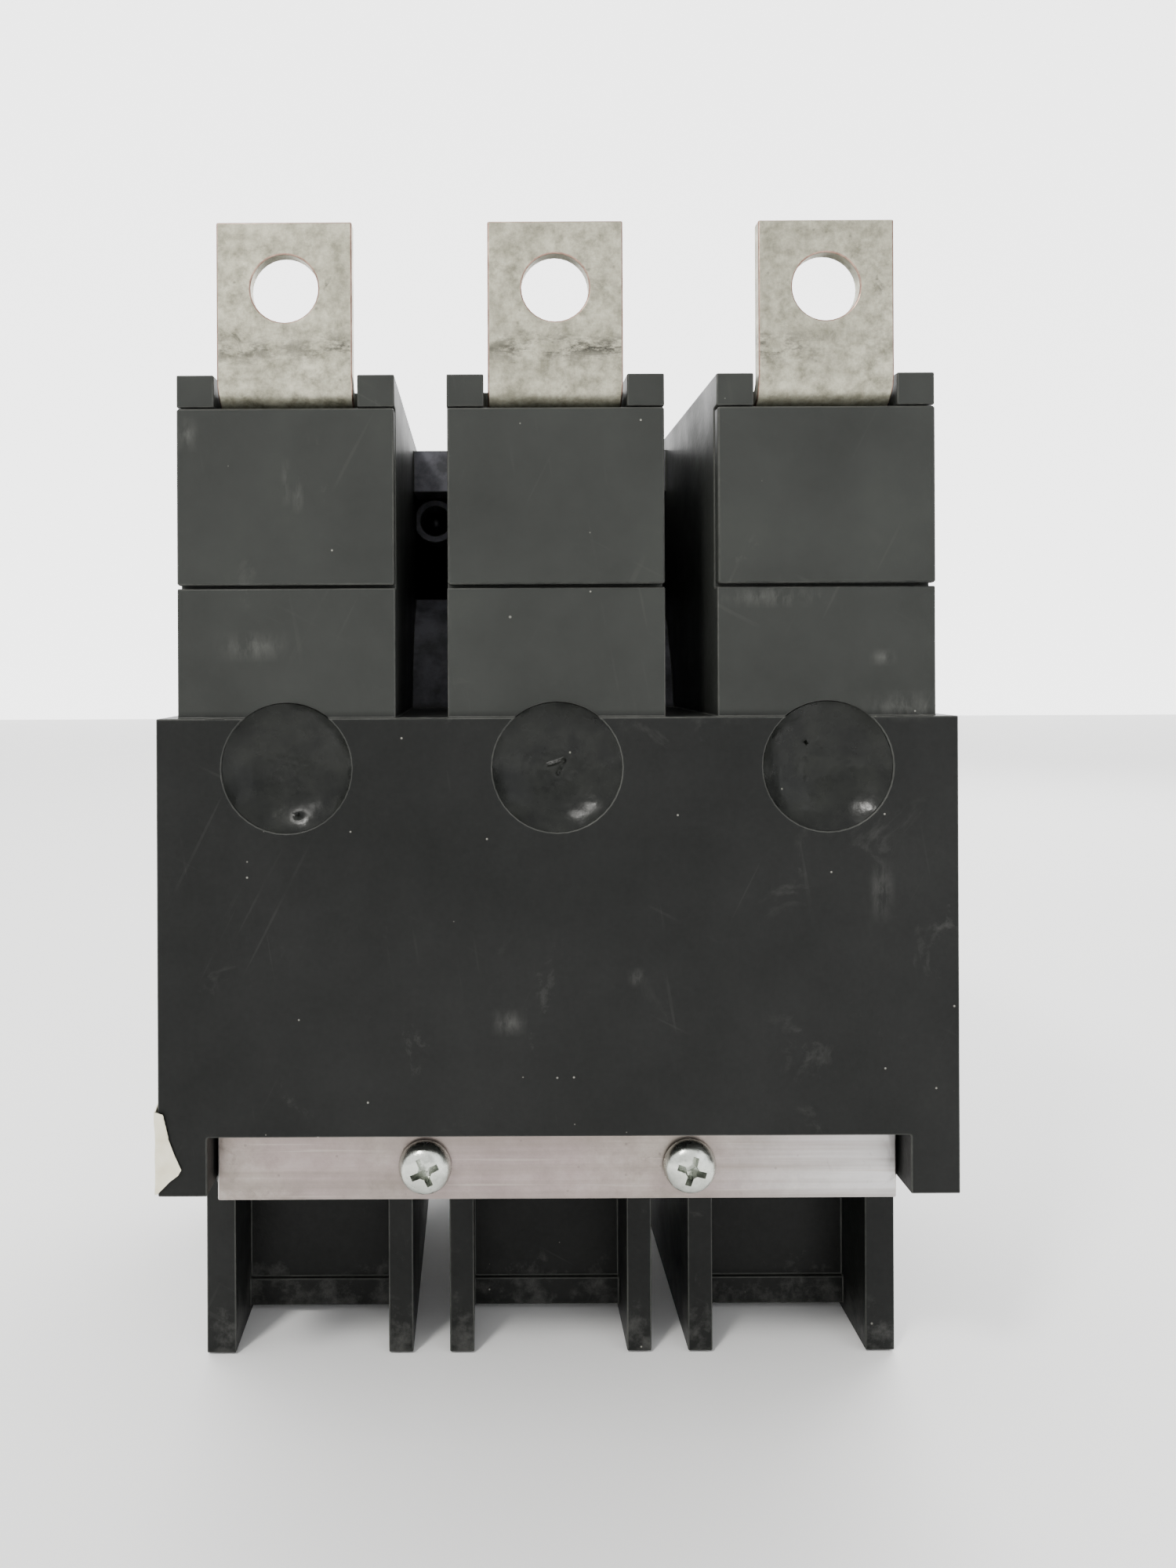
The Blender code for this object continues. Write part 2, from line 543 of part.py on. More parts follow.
def arc_chutes():
    """Each chute is a stack of steel plates between two fibre boards, notched for the arm."""
    top, foot, notch_top = 46.4, 30.0, 43.2
    for number, x in enumerate(POLES, 1):
        board = box(f"arc_chute_{number}", (x - 8.0, 12, foot), (x - 7.2, 30, top), "arc_plate")
        pieces = [box(f"chute_board_{number}", (x + 7.2, 12, foot), (x + 8.0, 30, top))]
        for k in range(6):
            y = 12.4 + 3.2 * k
            pieces.append(box(f"chute_plate_{number}_{k}", (x - 7.4, y, foot + 0.6),
                              (x + 7.4, y + 1.0, top - 0.6)))
        join(board, *pieces)
        cut(board, box(f"cut_chute_{number}", (x - 3.1, 11, foot - 1), (x + 3.1, 31, notch_top)))


def braids():
    """The flexible shunt of each pole, from its arm to its bimetal."""
    route = [(24.0, 3.1), (24.6, 1.7), (26.2, 1.2), (28.0, 1.4), (29.3, 2.3), (29.9, 3.4)]
    for number, x in enumerate(POLES, 1):
        curve = bpy.data.curves.new(f"braid_{number}", "CURVE")
        curve.dimensions = "3D"
        curve.bevel_depth = 0.7 * MM
        curve.bevel_resolution = 2
        curve.use_fill_caps = True
        spline = curve.splines.new("POLY")
        spline.points.add(len(route) - 1)
        for point, (y, z) in zip(spline.points, route):
            point.co = (x * MM, y * MM, z * MM, 1)
        obj = bpy.data.objects.new(f"braid_{number}", curve)
        bpy.context.scene.collection.objects.link(obj)
        store(obj, f"braid_{number}", "copper")


# ---- trip unit ---------------------------------------------------------------------------------

def trip_unit():
    ty, tz = TRIP_BAR_YZ
    bar = rod("trip_bar", TRIP_BAR_RADIUS, (-32.4, ty, tz), (32.4, ty, tz), "thermoset_black", 20)
    join(bar, *[box(f"trip_finger_{x}", (x - 5.2, 34.4, tz), (x + 5.2, 36.0, -0.6)) for x in POLES],
         box("latch_arm", (-1.2, 35, -9.2), (1.2, 46, -7.6)),
         box("latch_post", (-1.2, 43.6, -8.4), (1.2, 46, -5.9)))
    for number, x in enumerate(POLES, 1):
        box(f"bimetal_{number}", (x - 2.5, 30.9, -11), (x + 2.5, 31.9, 3.5), "bimetal")
        outline = [(x - 5.4, 26.8), (x + 5.4, 26.8), (x + 5.4, 33.2), (x + 3.9, 33.2),
                   (x + 3.9, 28.6), (x - 3.9, 28.6), (x - 3.9, 33.2), (x - 5.4, 33.2)]
        plate(f"magnet_yoke_{number}", [outline], -7.0, 0.0, "spring_steel", plane="XY")


# ---- operating mechanism -----------------------------------------------------------------------

def mechanism():
    side = [(29, -1), (43, -1), (50, -9), (58, -9), (60, -6), (60, 13), (54, 20), (34, 21), (29, 16)]
    holes = [circle(HANDLE_YZ, PIN_HOLE_RADIUS, 16), circle(CRADLE_YZ, PIN_HOLE_RADIUS, 16)]
    left = as_mesh(plate("mechanism_plate_left", [side, holes[0]], -8.0, -6.8), "zinc_steel")
    join(left, rod("cradle_stud", PIN_RADIUS, (-7.5, *CRADLE_YZ), (7.9, *CRADLE_YZ), sides=16))
    plate("mechanism_plate_right", [side, *holes], 6.8, 8.0, "zinc_steel")
    smooth(rod("handle_pin", PIN_RADIUS, (-7.9, *HANDLE_YZ), (7.9, *HANDLE_YZ), "spring_steel", 16))

    outline = arc(CRADLE_YZ, 3.0, 70, 250, 8)
    outline += [(35.2, 9.2), (38.8, 8.8), (42.4, 7.2), (42.6, -5.5), (46.4, -5.5), (46.8, 8.0), (43.5, 14.5)]
    cradle = as_mesh(plate("cradle", [outline, circle(CRADLE_YZ, PIN_HOLE_RADIUS, 16)], -1.2, 1.2),
                     "spring_steel")
    link_stud = rod("cradle_link_stud", 0.6, (0, *UPPER_LINK_YZ), (4.4, *UPPER_LINK_YZ), sides=12)
    hinge("cradle_axis", CRADLE_YZ, [join(cradle, link_stud), link_stud])
    link = as_mesh(plate("upper_link", [capsule(UPPER_LINK_YZ, KNEE_YZ, 1.9),
                                        circle(UPPER_LINK_YZ, 0.9, 12)], 2.6, 3.8), "zinc_steel")
    knee_stud = rod("knee_stud", 0.9, (-3.9, *KNEE_YZ), (3.2, *KNEE_YZ), sides=12)
    hinge("upper_link_axis", UPPER_LINK_YZ, [join(link, knee_stud), knee_stud])
    pin, knee = Vector(DRIVE_PIN_YZ), Vector(KNEE_YZ)
    along = (knee - pin).normalized()
    slot_back, slot_front = pin - along * 1.1, pin + along * 0.45
    lower = plate("lower_link", [capsule(slot_back, knee, 2.25), capsule(slot_back, slot_front, 1.45),
                                 circle(KNEE_YZ, 1.2, 12)], -3.8, -2.6, "zinc_steel")
    hinge("knee_axis", KNEE_YZ, [lower])
    for number, x in ((1, -5.3), (2, 5.3)):
        coil_spring(f"main_spring_{number}", x, (42.0, 3.0), (50.0, 15.0), 1.05, 7)


def coil_spring(name, x, start, end, radius, turns):
    """A tension spring's coil between two points of the YZ plane."""
    steps_per_turn, wire = 10, 0.28
    start, end = Vector(start), Vector(end)
    along = (end - start).normalized()
    across = Vector((-along.y, along.x))
    curve = bpy.data.curves.new(name, "CURVE")
    curve.dimensions = "3D"
    curve.bevel_depth = wire * MM
    curve.bevel_resolution = 1
    curve.use_fill_caps = True
    spline = curve.splines.new("POLY")
    count = turns * steps_per_turn + 1
    spline.points.add(count - 1)
    for i, point in enumerate(spline.points):
        angle = 2 * math.pi * i / steps_per_turn
        yz = start.lerp(end, i / (count - 1)) + across * radius * math.cos(angle)
        point.co = ((x + radius * math.sin(angle)) * MM, yz.x * MM, yz.y * MM, 1)
    obj = bpy.data.objects.new(name, curve)
    bpy.context.scene.collection.objects.link(obj)
    store(obj, name, "spring_steel")


def handle():
    """The toggle: a lever with a thumb grip, a hub and an arc shield that closes the cover's slot."""
    y0, z0 = HANDLE_YZ
    grip = [(y0 + 3, z0 - 3.4), (y0 + 16, z0 - 3.4), (y0 + 25, z0 - 2.6), (y0 + 28.4, z0 - 1.6),
            (y0 + 28.8, z0), (y0 + 28.4, z0 + 1.6), (y0 + 25, z0 + 2.6), (y0 + 16, z0 + 3.4),
            (y0 + 3, z0 + 3.4)]
    lever = as_mesh(plate("toggle_handle", [grip], -3.8, 3.8), "handle_black")
    shield = arc(HANDLE_YZ, 12.6, *SHIELD_DEG, 24) + arc(HANDLE_YZ, 11.4, *SHIELD_DEG[::-1], 24)
    added = [as_mesh(plate("handle_shield", [shield], -6.4, 6.4)),
             rod("handle_hub", 4.4, (-3.8, y0, z0), (3.8, y0, z0), sides=24)]
    bore = rod("cut_handle_bore", PIN_HOLE_RADIUS, (-5, y0, z0), (5, y0, z0))
    cut(join(lever, *added), bore)
    return hinge("toggle_axis", HANDLE_YZ, [lever, *added, bore], HANDLE_OFF_DEG)


clear_scene()
breaker = new_collection("molded_case_breaker")
cutters = new_collection("cutters")
rear_case()
front_cover()
rear_panels()
potting_seals()
mounting_bar()
case_screws()
line_straps()
load_terminals()
contact_assembly()
arc_chutes()
braids()
trip_unit()
mechanism()
handle()
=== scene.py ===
"""Looks of the three-pole molded case breaker: every surface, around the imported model's fixed frame."""
import json
import math
import random

import bmesh
import bpy
from mathutils import Euler, Matrix, Vector, noise


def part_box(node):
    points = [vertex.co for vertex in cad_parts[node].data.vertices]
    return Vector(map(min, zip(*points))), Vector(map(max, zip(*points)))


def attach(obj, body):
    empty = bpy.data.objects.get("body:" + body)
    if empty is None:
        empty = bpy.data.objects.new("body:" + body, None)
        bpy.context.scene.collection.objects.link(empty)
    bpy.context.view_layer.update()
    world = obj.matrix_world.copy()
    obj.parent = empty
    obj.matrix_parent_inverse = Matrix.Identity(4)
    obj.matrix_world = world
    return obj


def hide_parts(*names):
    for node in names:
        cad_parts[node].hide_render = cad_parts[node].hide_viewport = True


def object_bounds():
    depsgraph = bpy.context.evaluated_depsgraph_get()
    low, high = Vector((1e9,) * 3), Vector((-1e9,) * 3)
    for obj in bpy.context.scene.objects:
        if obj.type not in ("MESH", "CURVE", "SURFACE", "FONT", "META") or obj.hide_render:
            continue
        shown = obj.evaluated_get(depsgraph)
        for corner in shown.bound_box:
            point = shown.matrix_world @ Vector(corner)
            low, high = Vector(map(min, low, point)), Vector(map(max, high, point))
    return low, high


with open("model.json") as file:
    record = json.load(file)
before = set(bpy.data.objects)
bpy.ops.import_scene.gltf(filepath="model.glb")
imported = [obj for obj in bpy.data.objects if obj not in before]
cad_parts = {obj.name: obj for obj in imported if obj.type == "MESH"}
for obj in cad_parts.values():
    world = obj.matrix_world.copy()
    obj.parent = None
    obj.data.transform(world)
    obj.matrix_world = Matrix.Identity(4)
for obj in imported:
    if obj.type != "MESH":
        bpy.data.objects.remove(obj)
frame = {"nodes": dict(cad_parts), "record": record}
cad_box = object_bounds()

MM = 0.001

# The studio: the brighter side of the surrounding light and its two strengths, and the backdrop,
# with its place in metres.
LIGHT_SIDE = (-0.45, -0.25, 0.75)
WORLD_DIM, WORLD_BRIGHT = 0.35, 1.7
BACKDROP_GLOW = 2.4
BACKDROP_PLACE = (0, 1.6, 2.6)

# Colours that more than one look uses.
# Painted light: the paler tone given to the towers above the band, for the light they catch from above.
TOWER_PAINTED_LIGHT = (0.030, 0.032, 0.029)
# Painted light: the lighter bluish grey put deep in the gaps between the towers, where the lamps bring too
# little light.
GAP_PAINTED_LIGHT = (0.13, 0.13, 0.15)
# Painted highlight: the pale grey that one end of the mounting bar is mixed toward, standing in for a
# highlight there.
ZINC_PAINTED_HIGHLIGHT = (0.62, 0.62, 0.63)
RUBBED = (0.16, 0.16, 0.15)
SCRATCHED = (0.30, 0.30, 0.28)
BLACK_DARK, BLACK_LIGHT = (0.0045, 0.005, 0.0045), (0.012, 0.0125, 0.0118)

# Lengths in millimetres.
BAND_ABOVE_WELL = 4.7
GAP_REACH = 2.4
GAP_DEPTH = (20.0, 25.5)            # from the rear face, where the painted light starts and where it is full
FOOT_DUST = (18.6, 2.6)             # above the foot, where rubbing starts and where it is full
STAIN_BELOW_TIP = 11.9
# Where the mounting bar's painted highlight starts, past its middle along X.
BAR_HIGHLIGHT_FROM = 14.0
SEAL_DEPTH, SEAL_CLIMB, SEAL_EXTRA = 0.35, 1.75, 0.28
SEAL_CURVE = 3.3                    # a power, with no unit
SCRAP_LIFT, SCRAP_THICK = 0.06, 0.09
FLASH_RADIUS, FLASH_STEP, FLASH_INSET, FLASH_SINK = 0.07, 0.35, 0.12, 0.1
SCREW_WEAR = 0.05

BEVEL_ANGLE, SHARP_ANGLE, SCREW_ANGLE = (math.radians(a) for a in (32.0, 40, 38))

# Rub marks on the case: a node, the mark's offset from that node's middle to the right and up, and
# its half width and half height.
SMUDGE_STRENGTH = 0.26
SMUDGES = [("rear_panel_1", 0.1, 1.3, 0.5, 2.4), ("rear_panel_1", 1.2, 0.1, 0.6, 1.8),
           ("rear_panel_1", -9.2, 5.9, 1.2, 1.8), ("well_seal_2", -4.6, -23.9, 1.8, 1.4),
           ("well_seal_2", 7.4, -19.7, 1.0, 1.0), ("well_seal_3", 5.0, -11.6, 1.3, 3.2),
           ("rear_panel_3", 5.3, -15.3, 1.4, 0.9), ("rear_panel_3", -4.9, -9.6, 6.0, 1.1),
           ("well_seal_3", 7.2, 5.6, 4.2, 1.6), ("well_seal_1", -3.2, 11.5, 3.8, 1.6)]

NODE_BODY = {node: body for body, members in frame["record"]["behaviour"]["bodies"].items()
             for node in members}
SLOTS = {entry["node"]: entry["material_slot"] for entry in frame["record"]["subparts"]}


def middle(node):
    """The middle of a node's box, in millimetres."""
    low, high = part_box(node)
    return (Vector(low) + Vector(high)) / 2 / MM


def top(node):
    """The height of a node's top, in millimetres."""
    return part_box(node)[1].z / MM


BAND_TOP = middle("well_seal_2").z + BAND_ABOVE_WELL
GAPS = [(middle(f"well_seal_{n}").x + middle(f"well_seal_{n + 1}").x) / 2 for n in (1, 2)]


# ---- node materials ----------------------------------------------------------------------------

class Look:
    """A node material being built, in the object's own space. along and near count in millimetres."""

    def __init__(self, name, roughness=0.5, metallic=0.0, specular=0.5):
        self.material = bpy.data.materials.new(name)
        self.material.use_nodes = True
        self.tree = self.material.node_tree
        self.shader = self.tree.nodes["Principled BSDF"]
        self.shader.inputs["Roughness"].default_value = roughness
        self.shader.inputs["Metallic"].default_value = metallic
        self.shader.inputs["Specular IOR Level"].default_value = specular
        self.place = self.tree.nodes.new("ShaderNodeTexCoord").outputs["Object"]
        self.bumps = None

    def put(self, socket, value):
        if isinstance(value, bpy.types.NodeSocket):
            self.tree.links.new(value, socket)
        else:
            socket.default_value = value

    def mapped(self, stretch, turn=(0, 0, 0)):
        node = self.tree.nodes.new("ShaderNodeMapping")
        node.vector_type = "TEXTURE"
        node.inputs["Scale"].default_value = [1.0 / s for s in stretch]
        node.inputs["Rotation"].default_value = [math.radians(a) for a in turn]
        self.put(node.inputs["Vector"], self.place)
        return node.outputs["Vector"]

    def noise(self, scale, detail=4.0, roughness=0.55, vector=None, distortion=0.0):
        node = self.tree.nodes.new("ShaderNodeTexNoise")
        node.inputs["Scale"].default_value = scale
        node.inputs["Detail"].default_value = detail
        node.inputs["Roughness"].default_value = roughness
        node.inputs["Distortion"].default_value = distortion
        self.put(node.inputs["Vector"], vector or self.place)
        return node.outputs["Fac"]

    def spread(self, value, low, high, to_low=0.0, to_high=1.0):
        node = self.tree.nodes.new("ShaderNodeMapRange")
        node.inputs["From Min"].default_value = low
        node.inputs["From Max"].default_value = high
        node.inputs["To Min"].default_value = to_low
        node.inputs["To Max"].default_value = to_high
        self.put(node.inputs["Value"], value)
        return node.outputs["Result"]

    def maths(self, operation, *values):
        node = self.tree.nodes.new("ShaderNodeMath")
        node.operation = operation
        for socket, value in zip(node.inputs, values):
            self.put(socket, value)
        return node.outputs["Value"]

    def mix(self, factor, first, second):
        node = self.tree.nodes.new("ShaderNodeMix")
        node.data_type = "RGBA"
        self.put(node.inputs["Factor"], factor)
        for socket, value in ((node.inputs[6], first), (node.inputs[7], second)):
            self.put(socket, (*value, 1.0) if isinstance(value, tuple) else value)
        return node.outputs[2]

    def along(self, axis):
        """The place along X, Y or Z, in millimetres."""
        node = self.tree.nodes.new("ShaderNodeSeparateXYZ")
        self.put(node.inputs["Vector"], self.place)
        return self.maths("DIVIDE", node.outputs[axis], MM)

    def near(self, axis, centre, reach, level=0.0):
        """1 within level of that place along the axis, and 0 beyond reach from it, in millimetres."""
        away = self.maths("ABSOLUTE", self.maths("SUBTRACT", self.along(axis), centre))
        return self.spread(away, reach, level)

    def times(self, *values):
        made = values[0]
        for value in values[1:]:
            made = self.maths("MULTIPLY", made, value)
        return made

    def specks(self, scale, size, share):
        """Small round marks, one to a cell at most, in the given share of the cells."""
        node = self.tree.nodes.new("ShaderNodeTexVoronoi")
        node.inputs["Scale"].default_value = scale
        self.put(node.inputs["Vector"], self.place)
        dot = self.spread(node.outputs["Distance"], size, size * 0.45)
        parts = self.tree.nodes.new("ShaderNodeSeparateColor")
        self.put(parts.inputs["Color"], node.outputs["Color"])
        chosen = self.maths("GREATER_THAN", parts.outputs["Red"], 1.0 - share)
        return self.maths("MULTIPLY", dot, chosen)

    def scratches(self, turn, density, length=45.0, width=1500.0):
        """Fine straight marks in one direction, gathered in patches."""
        lines = self.noise(1.0, 1.0, 0.4, self.mapped((length, width, width), turn))
        thin = self.spread(lines, 0.72 - density * 0.1, 0.76 - density * 0.1)
        patch = self.spread(self.noise(85.0, 2.0), 0.5, 0.62)
        return self.maths("MULTIPLY", thin, patch)

    def bump(self, height, distance, strength=1.0):
        node = self.tree.nodes.new("ShaderNodeBump")
        node.inputs["Strength"].default_value = strength
        node.inputs["Distance"].default_value = distance
        self.put(node.inputs["Height"], height)
        if self.bumps is not None:
            self.put(node.inputs["Normal"], self.bumps)
        self.bumps = node.outputs["Normal"]

    def done(self, colour, roughness=None):
        self.put(self.shader.inputs["Base Color"], colour)
        if roughness is not None:
            self.put(self.shader.inputs["Roughness"], roughness)
        if self.bumps is not None:
            self.put(self.shader.inputs["Normal"], self.bumps)
        return self.material


def molded(name, dark, light, dull=0.50, bright=0.36, dust=0.5, scuff=0.5, specular=0.13, case=False):
    """Molded black thermoset: cloudy tone, fine grain, rubbed patches, a few scratches and dust.

    With case, its towers are painted paler than its band, a painted light for the light they catch from
    above, and deep in the gaps between them it is painted a lighter bluish grey, a painted light where the
    lamps bring too little.
    """
    look = Look(name, specular=specular)
    cloud = look.spread(look.noise(48.0, 6.0, 0.62), 0.34, 0.68)
    grain = look.spread(look.noise(1900.0, 3.0), 0.3, 0.7)
    tone = look.maths("ADD", look.times(cloud, 0.75), look.times(grain, 0.25))
    colour = look.mix(tone, dark, light)
    if case:
        # Painted light: above the band the towers are mixed toward a paler tone, standing in for the light
        # they catch from above.
        tower = look.spread(look.along("Z"), BAND_TOP - 0.3, BAND_TOP + 0.7)
        uneven = look.spread(look.noise(70.0, 4.0), 0.3, 0.7, 0.55, 1.0)
        colour = look.mix(look.times(tower, uneven), colour, TOWER_PAINTED_LIGHT)
        # Painted light: deep in the gaps between the towers the colour is mixed toward a lighter bluish grey,
        # standing in for light the lamps do not bring there.
        gaps = look.maths("MAXIMUM", *[look.near("X", x, GAP_REACH, GAP_REACH - 0.1) for x in GAPS])
        deep = look.times(tower, gaps, look.spread(look.along("Y"), *GAP_DEPTH))
        patchy = look.spread(look.noise(320.0, 5.0, 0.65), 0.36, 0.6, 0.35, 1.0)
        colour = look.mix(look.times(deep, patchy), colour, GAP_PAINTED_LIGHT)
        ends = [cad_box[0][2] / MM + height for height in FOOT_DUST]
        foot = look.times(look.spread(look.along("Z"), *ends), look.noise(260.0, 6.0, 0.75))
        colour = look.mix(look.spread(foot, 0.46, 0.66, 0.0, 0.22), colour, RUBBED)
        streaky = look.spread(look.noise(1.0, 5.0, 0.7, look.mapped((900.0, 900.0, 300.0))), 0.40, 0.62)
        for node, right, up, wide, tall in SMUDGES:
            place = middle(node)
            mark = look.times(look.near("X", place.x + right, wide), look.near("Z", place.z + up, tall),
                              streaky)
            colour = look.mix(look.times(mark, SMUDGE_STRENGTH), colour, RUBBED)
    rub = look.spread(look.noise(150.0, 7.0, 0.72, distortion=0.8), 0.60, 0.76)
    patch = look.spread(look.noise(38.0, 2.0), 0.48, 0.62)
    colour = look.mix(look.times(rub, patch, 0.30 * scuff), colour, RUBBED)
    for turn in ((0, 28, 0), (0, -63, 0), (0, 81, 14)):
        marks = look.scratches(turn, 0.1)
        colour = look.mix(look.times(marks, 0.035 * scuff), colour, SCRATCHED)
    specks = look.maths("MAXIMUM", look.specks(230.0, 0.045, 0.16), look.specks(620.0, 0.075, 0.12))
    colour = look.mix(look.times(specks, dust), colour, (0.42, 0.41, 0.36))
    look.bump(look.noise(2600.0, 2.0), 0.00002)
    look.bump(look.noise(330.0, 4.0), 0.00004)
    rough = look.spread(look.noise(120.0, 6.0, 0.7), 0.3, 0.7, bright, dull)
    return look.done(colour, rough)


def plated(name, dark, light, stain, stains=0.5, brush=None, dull=0.5, bright=0.3, tint=None, fine=260.0,
           stain_line=None, highlight_end=None, metallic=1.0):
    """Plated metal: cloudy tone, fine pits, dark handling stains and, with brush, drawn lines.

    stain_line is a height where dark stains gather, and highlight_end a place along X past which it is
    painted paler, a painted highlight.
    """
    look = Look(name, metallic=metallic)
    cloud = look.spread(look.noise(fine, 7.0, 0.72), 0.36, 0.64)
    colour = look.mix(cloud, dark, light)
    broad = look.spread(look.noise(110.0, 4.0, 0.6), 0.35, 0.65)
    colour = look.mix(look.times(broad, 0.35), colour, dark)
    if tint:
        wash = look.spread(look.noise(75.0, 3.0, 0.5), 0.42, 0.6)
        colour = look.mix(look.times(wash, 0.6), colour, tint)
    # Painted highlight: past that place along X the colour is mixed toward a pale grey, standing in for a
    # highlight on that end.
    if highlight_end:
        pale = look.spread(look.along("X"), highlight_end, highlight_end + 18.0, 0.0, 0.75)
        colour = look.mix(pale, colour, ZINC_PAINTED_HIGHLIGHT)
    if brush:
        lines = look.noise(1.0, 3.0, 0.6, look.mapped(brush))
        colour = look.mix(look.spread(lines, 0.38, 0.66, 0.0, 0.55), colour, dark)
        shine = look.spread(look.noise(1.0, 2.0, 0.5, look.mapped([2.2 * v for v in brush])), 0.64, 0.70)
        colour = look.mix(look.times(shine, 0.5), colour, light)
        look.bump(lines, 0.00003)
    pits = look.specks(900.0, 0.16, 0.18)
    colour = look.mix(look.times(pits, 0.35), colour, stain)
    blot = look.spread(look.noise(330.0, 7.0, 0.75, distortion=1.2), 0.58, 0.72)
    patch = look.spread(look.noise(120.0, 3.0), 0.46, 0.60)
    colour = look.mix(look.times(blot, patch, stains), colour, stain)
    if stain_line:
        smear = look.spread(look.noise(1.0, 6.0, 0.75, look.mapped((260.0, 260.0, 620.0))), 0.46, 0.57)
        where = look.spread(look.noise(60.0, 1.0), 0.42, 0.55, 0.25, 1.0)
        colour = look.mix(look.times(smear, where, look.near("Z", stain_line, 2.0), 1.0), colour, stain)
    look.bump(look.noise(1500.0, 3.0), 0.00003)
    look.bump(look.noise(240.0, 3.0), 0.00006)
    rough = look.spread(look.noise(420.0, 5.0, 0.7), 0.3, 0.7, bright, dull)
    return look.done(colour, rough)


def glossy_compound():
    """Poured black compound: glossy, slightly greenish, with a few dust grains."""
    look = Look("potting_compound", specular=0.17)
    cloud = look.spread(look.noise(380.0, 5.0, 0.6), 0.3, 0.7)
    colour = look.mix(cloud, (0.004, 0.0045, 0.004), (0.012, 0.013, 0.011))
    specks = look.specks(700.0, 0.09, 0.10)
    colour = look.mix(look.maths("MULTIPLY", specks, 0.5), colour, (0.36, 0.36, 0.30))
    look.bump(look.noise(700.0, 3.0), 0.00005)
    rough = look.spread(look.noise(500.0, 4.0), 0.35, 0.7, 0.20, 0.42)
    return look.done(colour, rough)


def torn_paper():
    look = Look("torn_paper", roughness=0.85)
    fibre = look.noise(1400.0, 5.0, 0.7)
    age = look.spread(look.noise(300.0, 4.0), 0.35, 0.7)
    colour = look.mix(age, (0.80, 0.77, 0.62), (0.60, 0.55, 0.40))
    look.bump(fibre, 0.00006)
    return look.done(colour)


def floor_finish():
    look = Look("pale_floor", roughness=0.75)
    tone = look.noise(14.0, 3.0)
    colour = look.mix(tone, (0.86, 0.86, 0.855), (0.88, 0.88, 0.875))
    look.bump(look.noise(900.0, 3.0), 0.00002)
    return look.done(colour)


LOOKS = {
    "thermoset_black": molded("thermoset_black", BLACK_DARK, BLACK_LIGHT),
    "handle_black": molded("handle_black", (0.014, 0.014, 0.014), (0.024, 0.024, 0.024), 0.40, 0.28,
                           0.1, 0.2),
    "potting_compound": glossy_compound(),
    "tinned_copper": plated("tinned_copper", (0.20, 0.192, 0.142), (0.53, 0.51, 0.40), (0.035, 0.033, 0.028),
                            0.75, None, 0.56, 0.40, fine=620.0,
                            stain_line=top("line_strap_1") - STAIN_BELOW_TIP, metallic=0.7),
    "zinc_steel": plated("zinc_steel", (0.215, 0.185, 0.16), (0.40, 0.36, 0.325), (0.10, 0.08, 0.07), 0.5,
                         (22.0, 1100.0, 1100.0), 0.44, 0.30, (0.31, 0.245, 0.245),
                         highlight_end=middle("mounting_bar").x + BAR_HIGHLIGHT_FROM, metallic=0.85),
    "screw_steel": plated("screw_steel", (0.46, 0.48, 0.44), (0.70, 0.72, 0.67), (0.06, 0.06, 0.055), 0.5,
                          None, 0.34, 0.18, fine=700.0),
    "copper": plated("copper", (0.62, 0.30, 0.18), (0.80, 0.44, 0.30), (0.16, 0.08, 0.05), 0.4),
    "silver_alloy": plated("silver_alloy", (0.62, 0.60, 0.56), (0.82, 0.80, 0.76), (0.10, 0.09, 0.08), 0.5),
    "bimetal": plated("bimetal", (0.42, 0.38, 0.30), (0.60, 0.55, 0.46), (0.15, 0.12, 0.10), 0.3,
                      (900.0, 900.0, 18.0)),
    "spring_steel": plated("spring_steel", (0.24, 0.24, 0.25), (0.42, 0.42, 0.43), (0.08, 0.06, 0.05), 0.3),
    "arc_plate": plated("arc_plate", (0.28, 0.26, 0.24), (0.42, 0.40, 0.37), (0.06, 0.05, 0.04), 0.5),
    "lug_aluminium": plated("lug_aluminium", (0.58, 0.59, 0.60), (0.78, 0.79, 0.80), (0.25, 0.25, 0.24), 0.3,
                            (900.0, 900.0, 22.0), 0.42, 0.28),
}
EDGE_LOOKS = {
    "thermoset_black": molded("thermoset_edge", (0.014, 0.015, 0.014), (0.065, 0.066, 0.060), 0.42, 0.30,
                              0.7, 0.9),
    "handle_black": molded("handle_edge", (0.020, 0.020, 0.020), (0.036, 0.036, 0.036), 0.36, 0.26,
                           0.1, 0.3),
    "tinned_copper": plated("strap_sheared_edge", (0.22, 0.13, 0.10), (0.50, 0.36, 0.29), (0.08, 0.05, 0.04),
                            0.6, fine=700.0),
    "zinc_steel": plated("bar_edge", (0.50, 0.47, 0.45), (0.68, 0.65, 0.62), (0.20, 0.16, 0.14), 0.2),
    "lug_aluminium": plated("lug_edge", (0.66, 0.67, 0.68), (0.84, 0.85, 0.86), (0.30, 0.30, 0.29), 0.2),
}


# ---- pieces ------------------------------------------------------------------------------------

def piece(name, mesh, node=None, slot=None, body=None):
    """A new object in the scene that rides on the body of the node that it stands for."""
    made = bpy.data.objects.new(name, mesh)
    bpy.context.scene.collection.objects.link(made)
    if node:
        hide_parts(node)
        body, slot = NODE_BODY[node], SLOTS[node]
    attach(made, body)
    return made


def cleaned(mesh):
    """The mesh with its split corners welded and its flat regions made one face each."""
    work = bmesh.new()
    work.from_mesh(mesh)
    bmesh.ops.remove_doubles(work, verts=work.verts, dist=2e-6)
    bmesh.ops.dissolve_limit(work, angle_limit=math.radians(0.6), verts=work.verts, edges=work.edges)
    made = bpy.data.meshes.new("cleaned")
    work.to_mesh(made)
    work.free()
    return made


